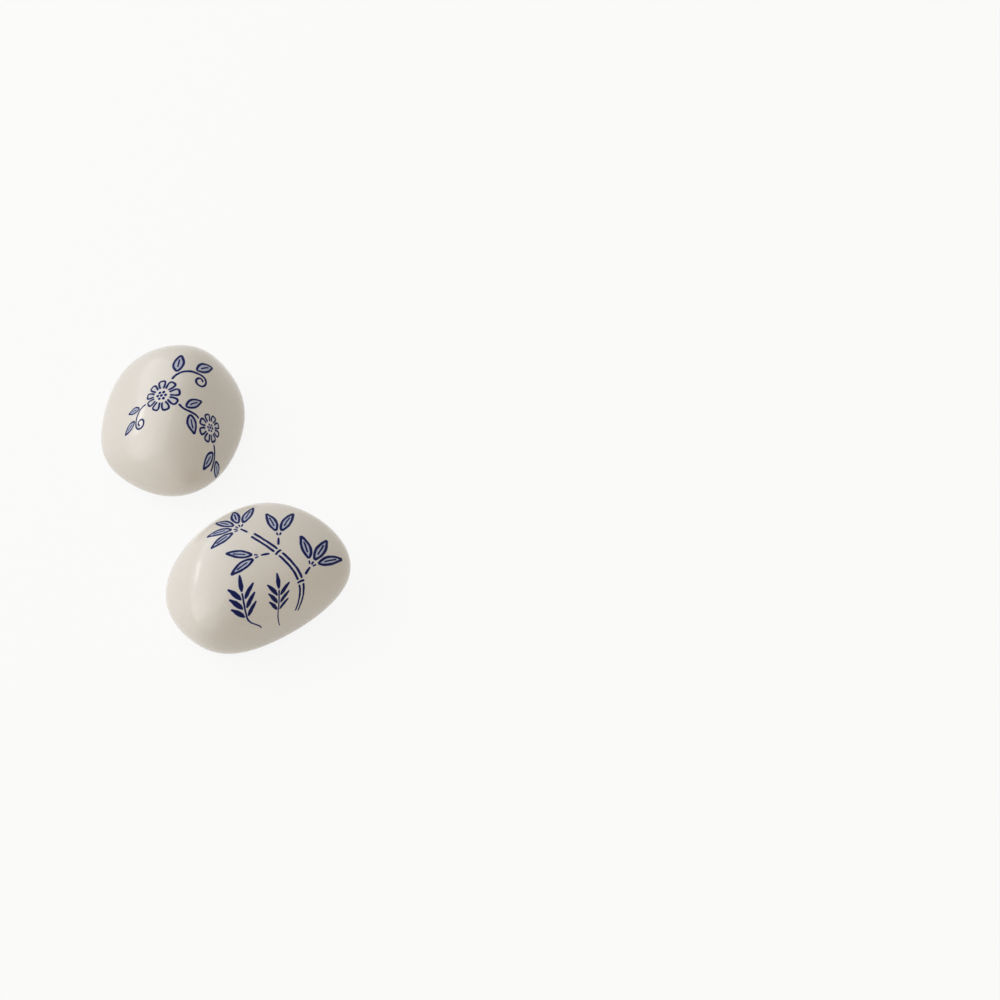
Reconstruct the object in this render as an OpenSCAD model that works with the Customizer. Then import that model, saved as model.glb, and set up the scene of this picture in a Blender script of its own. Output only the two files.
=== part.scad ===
// Pair of pebble-shaped chopstick rests in white glazed porcelain with blue
// line prints. Each rest is a slip-cast hollow shell on a flat foot.
// Millimetres, +Z up. The origin is on the table, at the middle of the box
// that holds both rests. The rear rest is the one at +Y.

/* [Rear rest] */
// Length of the full pebble, before its soft facets flatten it
rear_length = 57.5; // [50:0.5:66]
// Width of the full pebble, before its soft facets flatten it
rear_width = 46; // [40:0.5:54]
// Height of the full pebble above the table
rear_height = 25; // [21:0.5:29]
// Direction of the long axis, turned from +X towards +Y
rear_turn = 70; // [0:5:180]

/* [Front rest] */
// Length of the full pebble, before its soft facets flatten it
front_length = 57; // [50:0.5:66]
// Width of the full pebble, before its soft facets flatten it
front_width = 44.5; // [39:0.5:52]
// Height of the full pebble above the table
front_height = 24.5; // [21:0.5:29]
// Direction of the long axis, turned from +X towards +Y
front_turn = 32.5; // [0:2.5:180]

/* [Pair] */
// How far the rear rest stands to the left of the front one
pair_stagger = 25; // [0:1:40]
// How far the rear rest stands behind the front one
pair_spacing = 56; // [54:1:90]

/* [Porcelain] */
// Wall of the cast shell, and of its foot
wall = 3; // [2:0.1:4]
// Vent through the foot, which lets the air out in the kiln
vent_d = 3; // [2:0.1:3.8]

/* [Ink lines] */
// Width of an outline
line_w = 0.5; // [0.36:0.02:0.6]
// Width of a leaf's vein
vein_w = 0.3; // [0.2:0.02:0.4]
// Porcelain left bare between one outline and the next
line_gap = 0.36; // [0.26:0.02:0.5]
// Thickness of the fired ink
ink_t = 0.07; // [0.05:0.01:0.1]
// Space left between the ink and the porcelain under it
ink_clearance = 0.03; // [0.02:0.01:0.05]

/* [Bloom and vine print on the rear rest] */
// Width of the whole print
vine_print_w = 35; // [32:0.5:37]
// Radius of the larger bloom
bloom_r = 5.2; // [4.6:0.1:5.6]
// Petals of the larger bloom
bloom_petals = 9; // [6:1:10]
// Radius of the smaller bloom
small_bloom_r = 4.4; // [3.8:0.1:4.8]
// Petals of the smaller bloom
small_bloom_petals = 8; // [5:1:8]
// Radius of the curl that ends a vine
curl_r = 2; // [1.7:0.05:2.2]
// Length of a leaf on the vine
vine_leaf_l = 5.4; // [4.6:0.1:5.8]
// Width of a leaf on the vine
vine_leaf_w = 2.5; // [2.1:0.1:2.8]

/* [Bamboo print on the front rest] */
// Width of the whole print
bamboo_print_w = 32; // [30:0.5:35]
// Width of the stem between its two outlines
stem_w = 1.2; // [1:0.05:1.4]
// Length of a bamboo leaf
bamboo_leaf_l = 6.6; // [6:0.1:7]
// Width of a bamboo leaf
bamboo_leaf_w = 1.95; // [1.7:0.05:2.1]
// Length of a solid leaf on the young shoots
shoot_leaf_l = 4.2; // [3.8:0.1:4.5]
// Width of a solid leaf on the young shoots
shoot_leaf_w = 1; // [0.8:0.05:1.2]

/* [Hidden] */
porcelain = [0.86, 0.84, 0.81];
blue_ink = [0.15, 0.18, 0.43];
overrun = 1;

// Pebble form. The widest girth lies at this share of the height, and the
// full pebble would reach this share of the height below the table.
girth_share = 0.42;
sunk_share = 0.14;
// How tightly the facets meet the round pebble: higher is crisper
blend = 6;
// Soft facets: direction round the pebble from its long axis, tilt upwards,
// and the share of the full pebble's reach at which the facet lies
rear_facet_shares = [
    [167, 11, 0.85],
    [282, 29, 0.69],
    [115, 48, 0.68],
    [328, 20, 0.79],
    [31, 28, 0.91]];
front_facet_shares = [
    [196, -16, 0.9],
    [269, 4, 0.76],
    [108, 34, 1.02],
    [156, 40, 0.79],
    [24, -10, 0.93]];

// Corners of the solids: round the pebble, and from the foot to the crown
outer_turns = 54;
outer_rings = 20;
inner_turns = 32;
inner_rings = 10;
halvings = 24;

// Pebble geometry, in a frame at the middle of the girth with +X along the
// long axis
function direction(turn, tilt) =
    [cos(turn) * cos(tilt), sin(turn) * cos(tilt), sin(tilt)];
function unit(v) = v / norm(v);
function full_axes(size) = [
    size.x / 2,
    size.y / 2,
    size.z * (1 - girth_share),
    size.z * (girth_share + sunk_share)];
function axes_at(axes, p) = [axes[0], axes[1], p.z > 0 ? axes[2] : axes[3]];
function times(p, q) = [p.x * q.x, p.y * q.y, p.z * q.z];
function over(p, q) = [p.x / q.x, p.y / q.y, p.z / q.z];

// A form is its half-axes and one vector for each facet. The vector's product
// with a point is 1 on the facet.
function pebble_form(size, facet_shares, inset = 0) =
    let (axes = full_axes(size))
    [
        [for (a = axes) a - inset],
        [for (f = facet_shares)
            let (m = direction(f[0], f[1]))
            m / (f[2] * norm(times(m, axes_at(axes, m))) - inset)]
    ];
function facet_sum(p, vectors, i = 0) =
    i == len(vectors) ? 0
    : pow(max(0, p * vectors[i]), blend) + facet_sum(p, vectors, i + 1);
function facet_pull(p, vectors, i = 0) =
    i == len(vectors) ? [0, 0, 0]
    : pow(max(0, p * vectors[i]), blend - 1) * vectors[i]
        + facet_pull(p, vectors, i + 1);

// 1 on the surface, less inside and more outside
function gauge(p, form) =
    pow(pow(norm(over(p, axes_at(form[0], p))), blend)
        + facet_sum(p, form[1]), 1 / blend);
function surface_point(p, form) = p / gauge(p, form);
function surface_normal(p, form) =
    let (
        axes = axes_at(form[0], p),
        scaled = over(p, axes))
    unit(pow(norm(scaled), blend - 2) * over(scaled, axes)
        + facet_pull(p, form[1]));

// Distance from the middle to the edge of a level cut that lies drop below it
function cut_reach(turn, drop, form, low, high, n = halvings) =
    let (mid = (low + high) / 2)
    n == 0 ? mid
    : gauge([mid * cos(turn), mid * sin(turn), -drop], form) > 1
        ? cut_reach(turn, drop, form, low, mid, n - 1)
        : cut_reach(turn, drop, form, mid, high, n - 1);

function pebble_points(form, drop, turns, rings) =
    let (reaches = [for (i = [0:turns - 1])
        cut_reach(360 * i / turns, drop, form, 0, form[0][0] + form[0][1])])
    concat(
        [for (j = [0:rings - 1], i = [0:turns - 1])
            let (
                turn = 360 * i / turns,
                foot_tilt = atan2(-drop, reaches[i]),
                tilt = foot_tilt + (90 - foot_tilt) * j / rings)
            j == 0 ? [reaches[i] * cos(turn), reaches[i] * sin(turn), -drop]
            : surface_point(direction(turn, tilt), form)],
        [surface_point([0, 0, 1], form)]);
function pebble_faces(turns, rings) = concat(
    [[for (i = [0:turns - 1]) i]],
    [for (j = [0:rings - 2], i = [0:turns - 1], half = [0, 1])
        let (
            a = j * turns + i,
            b = j * turns + (i + 1) % turns)
        half == 0 ? [a, a + turns, b + turns] : [a, b + turns, b]],
    [for (i = [0:turns - 1])
        let (first = (rings - 1) * turns)
        [first + i, turns * rings, first + (i + 1) % turns]]);

rear_size = [rear_length, rear_width, rear_height];
front_size = [front_length, front_width, front_height];
rear_form = pebble_form(rear_size, rear_facet_shares);
front_form = pebble_form(front_size, front_facet_shares);

// Places of the two rests, with the middle of the pair's box on the origin
function turned(p, turn) =
    [p.x * cos(turn) - p.y * sin(turn), p.x * sin(turn) + p.y * cos(turn)];
function plan(form, size, turn) =
    [for (p = pebble_points(form, size.z * girth_share, outer_turns, outer_rings))
        turned(p, turn)];
function low_corner(points) =
    [min([for (p = points) p.x]), min([for (p = points) p.y])];
function high_corner(points) =
    [max([for (p = points) p.x]), max([for (p = points) p.y])];
rear_from_front = [-pair_stagger, pair_spacing];
pair_plan = concat(
    plan(front_form, front_size, front_turn),
    [for (p = plan(rear_form, rear_size, rear_turn)) p + rear_from_front]);
front_at = -(low_corner(pair_plan) + high_corner(pair_plan)) / 2;
rear_at = front_at + rear_from_front;

module rear_place()
    translate([rear_at.x, rear_at.y, rear_height * girth_share])
        rotate([0, 0, rear_turn])
            children();

module front_place()
    translate([front_at.x, front_at.y, front_height * girth_share])
        rotate([0, 0, front_turn])
            children();

// Hollow shell, cut flat at the table, with the vent through its foot
module shell(size, facet_shares) {
    drop = size.z * girth_share;
    difference() {
        polyhedron(
            pebble_points(pebble_form(size, facet_shares), drop, outer_turns, outer_rings),
            pebble_faces(outer_turns, outer_rings));
        polyhedron(
            pebble_points(pebble_form(size, facet_shares, wall), drop - wall,
                inner_turns, inner_rings),
            pebble_faces(inner_turns, inner_rings));
        translate([0, 0, -drop - overrun])
            cylinder(h = wall + 2 * overrun, d = vent_d, $fn = 32);
    }
}

// Print sheets. A print is drawn flat in millimetres and then wrapped onto
// its pebble. A sheet is the middle of the print on the surface and the two
// directions in which its drawing runs. Each place is the direction of that
// middle round the pebble, its tilt upwards and the heading of the drawing's
// own X axis.
rear_sheet_place = [228, 60, -70];
front_sheet_place = [300, 62, -32.5];
function sheet(place, form) =
    let (
        middle = surface_point(direction(place[0], place[1]), form),
        out = surface_normal(middle, form),
        heading = direction(place[2], 0),
        right = unit(heading - (heading * out) * out))
    [middle, right, cross(out, right)];
// The flat drawing is bent over a ball of this radius, which keeps its lengths,
// and then pressed on to the pebble
wrap_r = 22;
function wrapped(q, sheet, form) =
    let (
        bend = norm([q.x, q.y]) / wrap_r * 180 / PI,
        along = norm([q.x, q.y]) > 0
            ? (q.x * sheet[1] + q.y * sheet[2]) / norm([q.x, q.y]) : [0, 0, 0],
        inward = -cross(sheet[1], sheet[2]))
    surface_point(
        sheet[0] + wrap_r * (sin(bend) * along + (1 - cos(bend)) * inward), form);

// Strokes. A stroke is a list of [x, y, width], and is closed or open.
longest_step = 1.2;
function steps_for(length) = max(2, ceil(length / longest_step));
function laid(stroke, at, turn) =
    [for (p = stroke) let (q = at + turned(p, turn)) [q.x, q.y, p.z]];
function bezier_point(c, t) =
    pow(1 - t, 3) * c[0] + 3 * pow(1 - t, 2) * t * c[1]
    + 3 * (1 - t) * t * t * c[2] + pow(t, 3) * c[3];
function bezier_turn(c, t) =
    let (d = pow(1 - t, 2) * (c[1] - c[0]) + 2 * (1 - t) * t * (c[2] - c[1])
        + t * t * (c[3] - c[2]))
    atan2(d.y, d.x);
function bezier_length(c) =
    norm(c[1] - c[0]) + norm(c[2] - c[1]) + norm(c[3] - c[2]);
function bezier_stroke(c, w, side = 0, from = 0, to = 1) =
    let (n = steps_for((to - from) * bezier_length(c)))
    [for (i = [0:n])
        let (
            t = from + (to - from) * i / n,
            q = bezier_point(c, t) + turned([0, side], bezier_turn(c, t)))
        [q.x, q.y, w]];

// Ribbon of ink along one stroke, lying just clear of the porcelain
module ink_stroke(stroke, closed, sheet, form) {
    n = len(stroke);
    spine = [for (q = stroke) wrapped(q, sheet, form)];
    function before(i) = closed ? (i + n - 1) % n : max(0, i - 1);
    function after(i) = closed ? (i + 1) % n : min(n - 1, i + 1);
    points = [for (i = [0:n - 1])
        let (
            out = surface_normal(spine[i], form),
            along = unit(spine[after(i)] - spine[before(i)]),
            side = unit(cross(out, along)) * stroke[i].z / 2,
            low = spine[i] + out * ink_clearance,
            high = low + out * ink_t)
        each [low - side, low + side, high + side, high - side]];
    faces = [for (i = [0:closed ? n - 1 : n - 2], k = [0:3], half = [0, 1])
        let (
            a = 4 * i + k,
            b = 4 * i + (k + 1) % 4,
            next = 4 * (((i + 1) % n) - i))
        half == 0 ? [a, a + next, b + next] : [a, b + next, b]];
    ends = closed ? [] : [
        [0, 1, 2], [0, 2, 3],
        [4 * n - 4, 4 * n - 2, 4 * n - 3], [4 * n - 4, 4 * n - 1, 4 * n - 2]];
    polyhedron(points, concat(faces, ends));
}

// Round dot of ink
dot_sides = 8;
module ink_dot(at, r, sheet, form) {
    rim = [for (i = [0:dot_sides - 1])
        wrapped(at + r * [cos(360 * i / dot_sides), sin(360 * i / dot_sides)], sheet, form)];
    out = surface_normal(wrapped(at, sheet, form), form);
    points = concat(
        [for (p = rim) p + out * ink_clearance],
        [for (p = rim) p + out * (ink_clearance + ink_t)]);
    faces = concat(
        [for (i = [1:dot_sides - 2]) [0, i, i + 1]],
        [for (i = [1:dot_sides - 2]) [dot_sides, dot_sides + i + 1, dot_sides + i]],
        [for (i = [0:dot_sides - 1], half = [0, 1])
            let (j = (i + 1) % dot_sides)
            half == 0 ? [i, dot_sides + i, dot_sides + j] : [i, dot_sides + j, j]]);
    polyhedron(points, faces);
}

// Pointed leaf from its base at the drawing's own origin, out along X
leaf_steps = 8;
leaf_belly_share = 0.86;
function droop(l, t, bend_share) = bend_share * l * t * t;
function leaf_outline(l, w, bend_share) =
    [for (i = [0:2 * leaf_steps - 1])
        let (
            t = (i <= leaf_steps ? i : 2 * leaf_steps - i) / leaf_steps,
            y = w / 2 * sin(180 * pow(t, leaf_belly_share)))
        [l * t, droop(l, t, bend_share) + (i <= leaf_steps ? y : -y), line_w]];
vein_from_share = 0.24;
vein_to_share = 0.74;
function leaf_vein(l, bend_share) =
    let (n = steps_for(l * (vein_to_share - vein_from_share)))
    [for (i = [0:n])
        let (t = vein_from_share + (vein_to_share - vein_from_share) * i / n)
        [l * t, droop(l, t, bend_share), vein_w]];

module leaf(at, turn, l, w, bend_share, sheet, form) {
    ink_stroke(laid(leaf_outline(l, w, bend_share), at, turn), true, sheet, form);
    ink_stroke(laid(leaf_vein(l, bend_share), at, turn), false, sheet, form);
}

// Solid leaf, drawn with one press of the brush
blade_steps = 6;
blade_end_share = 0.25;
function blade(l, w, bend_share) =
    [for (i = [0:blade_steps])
        let (t = i / blade_steps)
        [l * t, droop(l, t, bend_share), w * (blade_end_share
            + (1 - blade_end_share) * sin(180 * pow(t, leaf_belly_share)))]];

// Bloom: a ring of round petals about an eye of dots
petal_root_share = 0.48;
petal_steps = 14;
petal_tip_power = 0.75;
petal_side_power = 0.65;
eye_share = 0.24;
eye_dot_share = 0.08;
eye_dots = 6;
function petal(r, petals) =
    [for (i = [0:petal_steps])
        let (
            a = 180 * i / petal_steps,
            rise = pow(sin(a), petal_tip_power),
            reach = r * (petal_root_share + (1 - petal_root_share) * rise),
            half = reach * tan(180 / petals) - (line_w + line_gap) / 2)
        [reach, -half * sign(cos(a)) * pow(abs(cos(a)), petal_side_power), line_w]];

module bloom(at, turn, r, petals, sheet, form) {
    for (i = [0:petals - 1])
        ink_stroke(laid(petal(r, petals), at, turn + 360 * i / petals), false, sheet, form);
    ink_dot(at, r * eye_dot_share, sheet, form);
    for (i = [0:eye_dots - 1])
        ink_dot(at + r * eye_share * [cos(360 * i / eye_dots), sin(360 * i / eye_dots)],
            r * eye_dot_share, sheet, form);
}

// Rear print: two blooms on a curling vine
rear_sheet = sheet(rear_sheet_place, rear_form);
bloom_at_share = [-0.16, 0.08];
bloom_turn = 10;
small_bloom_at_share = [0.3, -0.16];
small_bloom_turn = 25;
bloom_at = vine_print_w * bloom_at_share;
small_bloom_at = vine_print_w * small_bloom_at_share;
function rim(at, r, turn) =
    at + (r + line_w + line_gap) * [cos(turn), sin(turn)];
curl_sweep = 430;
curl_step = 24;
curl_inner_share = 0.34;
function curl(at, heading, side) =
    let (
        centre = at + turned([0, side * curl_r], heading),
        n = ceil(curl_sweep / curl_step))
    [for (i = [1:n])
        let (
            r = curl_r * (1 - (1 - curl_inner_share) * i / n),
            a = heading - side * 90 + side * curl_sweep * i / n)
        [centre.x + r * cos(a), centre.y + r * sin(a), line_w]];

// A tendril leaves a bloom's rim, and ends at a place with its own heading
tendril_pull_share = 0.4;
function tendril(from, from_turn, to, to_turn) =
    let (pull = tendril_pull_share * norm(to - from))
    [from, from + turned([pull, 0], from_turn), to - turned([pull, 0], to_turn), to];
link_turn = -30;
link_end_turn = 158;
link_sway = 28;
left_turn = 200;
left_end_share = [-0.41, -0.19];
left_end_turn = -70;
top_turn = 62;
top_end_share = [0.15, 0.3];
top_end_turn = -12;
low_turn = -70;
low_end_share = [0.33, -0.5];
low_end_turn = -112;
link_vine = tendril(
    rim(bloom_at, bloom_r, link_turn), link_turn - link_sway,
    rim(small_bloom_at, small_bloom_r, link_end_turn), link_end_turn + 180 - link_sway);
left_vine = tendril(
    rim(bloom_at, bloom_r, left_turn), left_turn,
    vine_print_w * left_end_share, left_end_turn);
top_vine = tendril(
    rim(bloom_at, bloom_r, top_turn), top_turn,
    vine_print_w * top_end_share, top_end_turn);
low_vine = tendril(
    rim(small_bloom_at, small_bloom_r, low_turn), low_turn,
    vine_print_w * low_end_share, low_end_turn);

// Leaves on the vines: vine, share of the way along it, side, and the turn
// away from it
vines = [link_vine, left_vine, top_vine, low_vine];
vine_leaf_shares = [
    [0, 0.3, 1, 62],
    [0, 0.6, -1, 62],
    [1, 0.3, -1, 50],
    [1, 0.8, -1, 50],
    [2, 0.28, 1, 55],
    [2, 0.8, 1, 50],
    [3, 0.3, -1, 50],
    [3, 0.62, 1, 45]];
vine_leaf_bend_share = 0.1;
function beside(curve, t, side, away) =
    bezier_point(curve, t) + turned([0, side * away], bezier_turn(curve, t));

module rear_shell() color(porcelain) rear_place() shell(rear_size, rear_facet_shares);

module rear_bloom_print() color(blue_ink) rear_place() {
    bloom(bloom_at, bloom_turn, bloom_r, bloom_petals, rear_sheet, rear_form);
    bloom(small_bloom_at, small_bloom_turn, small_bloom_r, small_bloom_petals,
        rear_sheet, rear_form);
}

module rear_vine_print() color(blue_ink) rear_place() {
    ink_stroke(bezier_stroke(link_vine, line_w), false, rear_sheet, rear_form);
    ink_stroke(
        concat(bezier_stroke(left_vine, line_w), curl(left_vine[3], left_end_turn, 1)),
        false, rear_sheet, rear_form);
    ink_stroke(
        concat(bezier_stroke(top_vine, line_w), curl(top_vine[3], top_end_turn, -1)),
        false, rear_sheet, rear_form);
    ink_stroke(bezier_stroke(low_vine, line_w), false, rear_sheet, rear_form);
}

module rear_leaf_print() color(blue_ink) rear_place()
    for (v = vine_leaf_shares)
        leaf(beside(vines[v[0]], v[1], v[2], line_w + line_gap),
            bezier_turn(vines[v[0]], v[1]) + v[2] * v[3],
            vine_leaf_l, vine_leaf_w, -v[2] * vine_leaf_bend_share,
            rear_sheet, rear_form);

// Front print: a jointed bamboo stem with fans of leaves, and young shoots
// beside it
front_sheet = sheet(front_sheet_place, front_form);
stem_curve_shares = [[0.4, -0.46], [0.34, -0.1], [0.1, 0.06], [-0.18, 0.26]];
stem_curve = bamboo_print_w * stem_curve_shares;
// Shares of the way along the stem at which its joints lie
stem_joint_shares = [0, 0.36, 0.7, 1];
joint_gap = 0.85;
joint_overhang = 0.4;
joint_bow = 0.2;

// Fans of leaves: share of the way along the stem, side, turn away from the
// stem, leaves in the fan
leaf_fan_shares = [
    [0.36, -1, 52, 3],
    [0.7, 1, 55, 2],
    [0.7, -1, 48, 2],
    [1, 0, 4, 5]];
fan_step = 34;
fan_root_share = 0.36;
stalk_root_share = 0.13;
twig_l = 2.2;
leaf_bend_share = 0.1;

// Young shoots: place of the lowest leaves and of the stem's root as shares of
// the print's width, heading, pairs of leaves
shoot_shares = [
    [[-0.17, -0.46], [-0.01, -0.64], 102, 3],
    [[0.14, -0.43], [0.25, -0.66], 104, 3]];
shoot_pitch_share = 0.56;
shoot_spread = 32;
shoot_sway = 22;
shoot_top_l = 1.5;

module front_shell() color(porcelain) front_place() shell(front_size, front_facet_shares);

function fan_turn(f) = bezier_turn(stem_curve, f[0]) + f[1] * f[2];
function twig_foot(f) =
    bezier_point(stem_curve, f[0])
    + turned([abs(f[1]) * (stem_w / 2 + line_w + line_gap) + joint_gap, 0], fan_turn(f));

module front_stem_print() color(blue_ink) front_place() {
    gap = joint_gap / bezier_length(stem_curve);
    for (i = [0:len(stem_joint_shares) - 2], side = [-1, 1])
        ink_stroke(
            bezier_stroke(stem_curve, line_w, side * stem_w / 2,
                stem_joint_shares[i] + gap, stem_joint_shares[i + 1] - gap),
            false, front_sheet, front_form);
    for (i = [1:len(stem_joint_shares) - 2])
        ink_stroke(
            laid([for (side = [-1:0.5:1])
                    [joint_bow * (1 - side * side) - joint_bow / 2,
                        side * (stem_w / 2 + joint_overhang), line_w]],
                bezier_point(stem_curve, stem_joint_shares[i]),
                bezier_turn(stem_curve, stem_joint_shares[i])),
            false, front_sheet, front_form);
    for (f = leaf_fan_shares)
        ink_stroke(
            laid([[0, 0, line_w], [twig_l / 2, 0, line_w], [twig_l, 0, vein_w]],
                twig_foot(f), fan_turn(f)),
            false, front_sheet, front_form);
}

module front_leaf_print() color(blue_ink) front_place()
    for (f = leaf_fan_shares, i = [0:f[3] - 1]) {
        side = i - (f[3] - 1) / 2;
        hub = twig_foot(f) + turned([twig_l, 0], fan_turn(f));
        turn = fan_turn(f) + side * fan_step;
        root = bamboo_leaf_l * fan_root_share;
        leaf(hub + turned([root, 0], turn), turn, bamboo_leaf_l, bamboo_leaf_w,
            leaf_bend_share * sign(side), front_sheet, front_form);
        ink_stroke(
            laid([
                    [bamboo_leaf_l * stalk_root_share, 0, vein_w],
                    [root - line_w / 2 - line_gap, 0, vein_w]],
                hub, turn),
            false, front_sheet, front_form);
    }

// Stem of a shoot, from its root to just above its last pair of leaves
shoot_pitch = shoot_leaf_l * shoot_pitch_share;
function on_shoot(s, ahead, side = 0) =
    bamboo_print_w * s[0] + turned([ahead, side], s[2]);
function shoot_length(s) = shoot_pitch * (s[3] - 1) + shoot_top_l;
function shoot_stem(s) =
    let (
        n = steps_for(shoot_length(s)),
        root = tendril(bamboo_print_w * s[1], s[2] + shoot_sway, on_shoot(s, 0), s[2]))
    concat(
        bezier_stroke(root, vein_w),
        [for (i = [1:n])
            let (q = on_shoot(s, shoot_length(s) * i / n))
            [q.x, q.y, vein_w]]);

module front_shoot_print() color(blue_ink) front_place()
    for (s = shoot_shares) {
        ink_stroke(shoot_stem(s), false, front_sheet, front_form);
        ink_stroke(
            laid(blade(shoot_leaf_l, shoot_leaf_w, 0),
                on_shoot(s, shoot_length(s) + line_gap), s[2]),
            false, front_sheet, front_form);
        for (i = [0:s[3] - 1], side = [-1, 1])
            ink_stroke(
                laid(blade(shoot_leaf_l, shoot_leaf_w, side * leaf_bend_share),
                    on_shoot(s, shoot_pitch * i, side * line_w),
                    s[2] + side * shoot_spread),
                false, front_sheet, front_form);
    }

rear_shell();
rear_bloom_print();
rear_vine_print();
rear_leaf_print();
front_shell();
front_stem_print();
front_leaf_print();
front_shoot_print();
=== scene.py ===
import math

import bpy
import numpy as np
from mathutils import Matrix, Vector


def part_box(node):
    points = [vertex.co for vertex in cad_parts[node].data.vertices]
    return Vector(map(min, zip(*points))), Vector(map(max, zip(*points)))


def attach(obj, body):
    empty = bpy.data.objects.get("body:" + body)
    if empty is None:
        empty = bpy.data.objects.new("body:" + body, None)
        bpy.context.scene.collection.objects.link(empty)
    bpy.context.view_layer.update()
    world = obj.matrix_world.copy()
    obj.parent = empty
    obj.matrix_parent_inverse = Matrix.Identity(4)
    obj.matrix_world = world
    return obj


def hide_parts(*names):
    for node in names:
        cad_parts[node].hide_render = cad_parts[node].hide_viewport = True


# Pair of pebble-shaped chopstick rests in white glazed porcelain with blue line prints.
# Sizes and drawings are in millimetres. MM turns them into metres for Blender.
MM = 0.001

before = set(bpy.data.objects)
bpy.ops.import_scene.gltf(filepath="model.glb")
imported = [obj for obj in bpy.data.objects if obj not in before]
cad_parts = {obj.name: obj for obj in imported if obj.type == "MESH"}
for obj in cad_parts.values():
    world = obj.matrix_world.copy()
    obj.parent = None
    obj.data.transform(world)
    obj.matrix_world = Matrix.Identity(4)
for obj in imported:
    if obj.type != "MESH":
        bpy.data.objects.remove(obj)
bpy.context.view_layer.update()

# Pebble form, the same for both rests. The girth is its widest level, and the sunk part is what
# the flat foot cuts off, both as shares of the height. BLEND is the power that joins the facets.
GIRTH_SHARE = 0.42
SUNK_SHARE = 0.14
BLEND = 6
WALL = 3
VENT_R = 1.5
FOOT_ROUND = 0.9
VENT_ROUND = 0.3

# Steps of the search for a pebble's edge, and tilts between which its widest outline lies
HALVINGS = 40
GIRTH_TILTS = range(-20, 21, 2)

# Corners in each row of the shell's mesh, and rows in each of its stretches
TURNS = 216
OUTER_ROWS = 84
ROUND_ROWS = 9
FOOT_ROWS = 7
VENT_ROWS = 4
TUBE_ROWS = 3
FLOOR_ROWS = 4
INNER_ROWS = 26

# Ink lines: their drawn widths and gap, and how far the fired ink spreads, fades and bleeds
LINE_W = 0.5
VEIN_W = 0.3
LINE_GAP = 0.36
SPREAD_W = 0.05
EDGE_W = 0.08
BLEED_W = 0.1
BLEED_SHARE = 0.26

# Relief of the ink, and the depth of its underside in the porcelain
INK_HEIGHT = 0.03
WASH_HEIGHT = 0.004
SUNK_DEPTH = 0.03

# Unevenness of a drawn line: its sway to the side and the swells of its width, with the rates of
# their waves along the line, and the rate at which the phase changes with the line's place
SWAY_W = 0.03
SWAY_RATES = (1.9, 0.7)
SWELL_SHARES = (0.09, 0.05)
SWELL_RATES = (1.3, 3.7)
PHASE_RATE = 7

# Places across the soft edge of a line, as shares of its width, across a wash, as shares of the
# half-width, and along a round end, as shares of its length
EDGE_SHARES = np.array([-0.5, -0.25, 0, 0.25, 0.5])
WASH_ACROSS_SHARES = np.linspace(-1, 1, 7)
CAP_SHARES = np.array([0, 0.04, 0.15, 0.3, 0.5, 0.75])

# A wash darkens towards its rim with this power
WASH_RIM_POWER = 3

# Step of the mesh along a line, and points on each kind of curve
INK_STEP = 0.17
CURVE_POINTS = 80
LEAF_POINTS = 60
WASH_INSET_POINTS = 3
PETAL_POINTS = 60
CURL_POINTS = 90
BLADE_POINTS = 40
JOINT_POINTS = 21

# Radius of the ball over which a print is wrapped, and the least sizes that keep sums sound
WRAP_R = 22
TINY = 0.01
NEAR_ZERO = 1e-9


def unit(vectors):
    """The vectors, each made 1 long."""
    return vectors / np.linalg.norm(vectors, axis=-1, keepdims=True)


def direction(turn, tilt):
    """Unit vector at a turn about Z and a tilt above the level, both in degrees."""
    turn, tilt = np.broadcast_arrays(np.radians(turn), np.radians(tilt))
    return np.stack([np.cos(turn) * np.cos(tilt), np.sin(turn) * np.cos(tilt), np.sin(tilt)], -1)


def turned(points, turn):
    """X and Y of the points, turned about Z by degrees."""
    c = math.cos(math.radians(turn))
    s = math.sin(math.radians(turn))
    x, y = np.moveaxis(np.asarray(points, float)[..., :2], -1, 0)
    return np.stack([x * c - y * s, x * s + y * c], -1)


class Pebble:
    """A flattened round pebble with soft facets, in a frame at the middle of its girth."""

    def __init__(self, size, facet_shares, inset=0.0):
        length, width, height = size
        self.drop = height * GIRTH_SHARE
        full = np.array([
            length / 2, width / 2, height * (1 - GIRTH_SHARE), height * (GIRTH_SHARE + SUNK_SHARE)])
        self.axes = full - inset
        self.facets = []
        for turn, tilt, share in facet_shares:
            out = direction(turn, tilt)
            reach = np.linalg.norm(out * full[[0, 1, 2 if out[2] > 0 else 3]])
            self.facets.append(out / (share * reach - inset))

    def axes_at(self, points):
        """Half-axes at each point. The one that points up differs from the one that points down."""
        vertical = np.where(points[..., 2] > 0, self.axes[2], self.axes[3])
        level = np.ones_like(vertical)
        return np.stack([level * self.axes[0], level * self.axes[1], vertical], -1)

    def gauge(self, points):
        """1 on the pebble's surface, less inside it and more outside."""
        total = np.linalg.norm(points / self.axes_at(points), axis=-1) ** BLEND
        for facet in self.facets:
            total = total + np.maximum(0, points @ facet) ** BLEND
        return total ** (1 / BLEND)

    def surface(self, points):
        """Where rays from the middle through the points leave the pebble."""
        return points / self.gauge(points)[..., None]

    def normal(self, points):
        axes = self.axes_at(points)
        reach = np.linalg.norm(points / axes, axis=-1, keepdims=True)
        total = reach ** (BLEND - 2) * points / axes ** 2
        for facet in self.facets:
            total = total + np.maximum(0, points @ facet)[..., None] ** (BLEND - 1) * facet
        return unit(total)

    def reach(self, turns, drop):
        """Distance from the middle to the edge of a level cut that lies drop below it."""
        low = np.zeros_like(turns)
        high = np.full_like(turns, self.axes[0] + self.axes[1])
        for _ in range(HALVINGS):
            middle = (low + high) / 2
            outside = self.gauge(level_points(turns, middle, -drop)) > 1
            high = np.where(outside, middle, high)
            low = np.where(outside, low, middle)
        return low


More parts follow.
